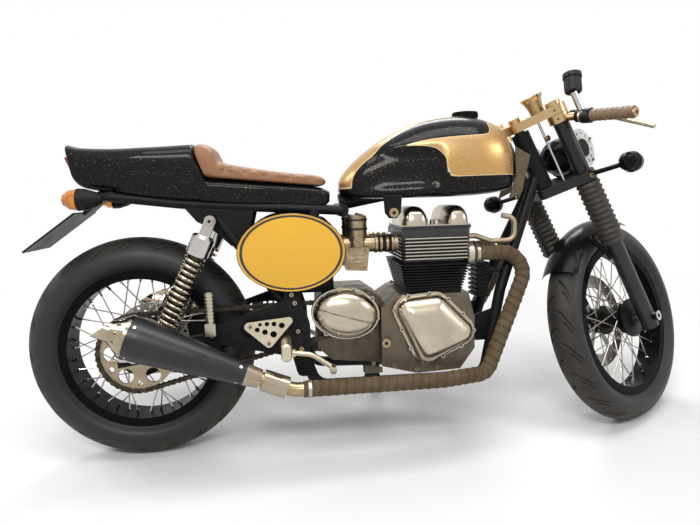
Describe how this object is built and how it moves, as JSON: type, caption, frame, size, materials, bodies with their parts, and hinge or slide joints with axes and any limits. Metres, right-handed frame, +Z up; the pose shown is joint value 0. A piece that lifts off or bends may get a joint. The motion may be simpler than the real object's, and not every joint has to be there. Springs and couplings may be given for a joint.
{
  "type": "motorcycle",
  "caption": "Retro cafe-style standard motorcycle with finned parallel-twin engine, clip-on bars, wire wheels, twin shocks and humped seat, parked on its side stand",
  "frame": {"origin": "on the ground, under the middle of the parked machine's box", "axes": "+X forward along the wheelbase, +Y to the machine's left, +Z up; the machine leans to +Y on its side stand with the steering on its left stop"},
  "size_m": [2.0847, 0.6567, 1.0737],
  "materials": {
    "gloss_black": "gloss",
    "gold_flake": "gloss",
    "satin_black": "satin",
    "polished_alloy": "gloss",
    "cast_alloy": "matte",
    "gold_anodised": "satin",
    "chrome": "gloss",
    "brushed_steel": "satin",
    "brass": "satin",
    "black_rubber": "matte",
    "tyre_rubber": "matte",
    "tan_leather": "satin",
    "brown_leather": "satin",
    "header_wrap": "matte",
    "white_paint": "gloss",
    "yellow_paint": "satin",
    "black_plastic": "matte",
    "amber_lens": "gloss",
    "red_lens": "gloss",
    "lamp_glass": "gloss"
  },
  "bodies": {
    "chassis": {"main_frame": "satin_black", "swingarm": "satin_black", "shock_dampers": "chrome", "shock_springs": "chrome", "rear_axle": "brushed_steel", "drive_chain": "brushed_steel", "rear_caliper": "satin_black", "crankcase": "cast_alloy", "engine_covers": "polished_alloy", "cylinder_barrels": "satin_black", "cylinder_head": "satin_black", "cam_covers": "polished_alloy", "carburettors": "brass", "air_intake": "black_rubber", "oil_cooler": "satin_black", "breather_pipe": "brass", "header_pipes": "header_wrap", "silencers": "satin_black", "silencer_caps": "brushed_steel", "footrest_brackets": "satin_black", "passenger_pegs": "polished_alloy", "rider_footrests": "gold_anodised", "number_plates": "yellow_paint", "fuel_tank": "gold_flake", "fuel_cap": "chrome", "seat_pad": "tan_leather", "seat_cowl": "gloss_black", "tail_lamp": "red_lens", "tail_fittings": "black_plastic", "rear_lenses": "amber_lens"},
    "steering": {"fork_crown": "satin_black", "fork_lowers": "satin_black", "fork_gaiters": "black_rubber", "top_yoke": "gold_anodised", "clip_on_bars": "gold_anodised", "grips": "brown_leather", "control_levers": "polished_alloy", "brake_reservoir": "black_plastic", "gauge": "brass", "headlamp_shell": "gloss_black", "headlamp_lens": "lamp_glass", "headlamp_brackets": "white_paint", "front_indicators": "black_plastic", "front_mudguard": "satin_black", "front_caliper": "satin_black", "front_axle": "brushed_steel", "front_brake_hose": "black_rubber"},
    "front_wheel": {"front_tyre": "tyre_rubber", "front_rim": "satin_black", "front_spokes": "brushed_steel", "front_hub": "satin_black", "front_disc": "brushed_steel"},
    "rear_wheel": {"rear_tyre": "tyre_rubber", "rear_rim": "satin_black", "rear_spokes": "brushed_steel", "rear_hub": "satin_black", "rear_disc": "brushed_steel", "rear_sprocket": "brushed_steel"},
    "side_stand": {"side_stand": "satin_black"}
  },
  "joints": [
    {"name": "steering_turn", "type": "hinge", "parent": "chassis", "child": "steering", "pos_m": [0.49861, 0.01969, 0.73609], "axis": [0.434, -0.1561, -0.8873], "range_deg": [0, 66]},
    {"name": "front_wheel_spin", "type": "hinge", "parent": "steering", "child": "front_wheel", "pos_m": [0.75893, -0.02841, 0.29823], "axis": [-0.4914, 0.7845, -0.3783], "continuous": true},
    {"name": "rear_wheel_spin", "type": "hinge", "parent": "chassis", "child": "rear_wheel", "pos_m": [-0.72343, -0.05543, 0.31613], "axis": [-0.0009, 0.9848, -0.1736], "continuous": true},
    {"name": "side_stand_fold", "type": "hinge", "parent": "chassis", "child": "side_stand", "pos_m": [-0.03919, 0.07024, 0.16161], "axis": [-0.0702, 0.8385, 0.5404], "range_deg": [0, 94.87]}
  ]
}
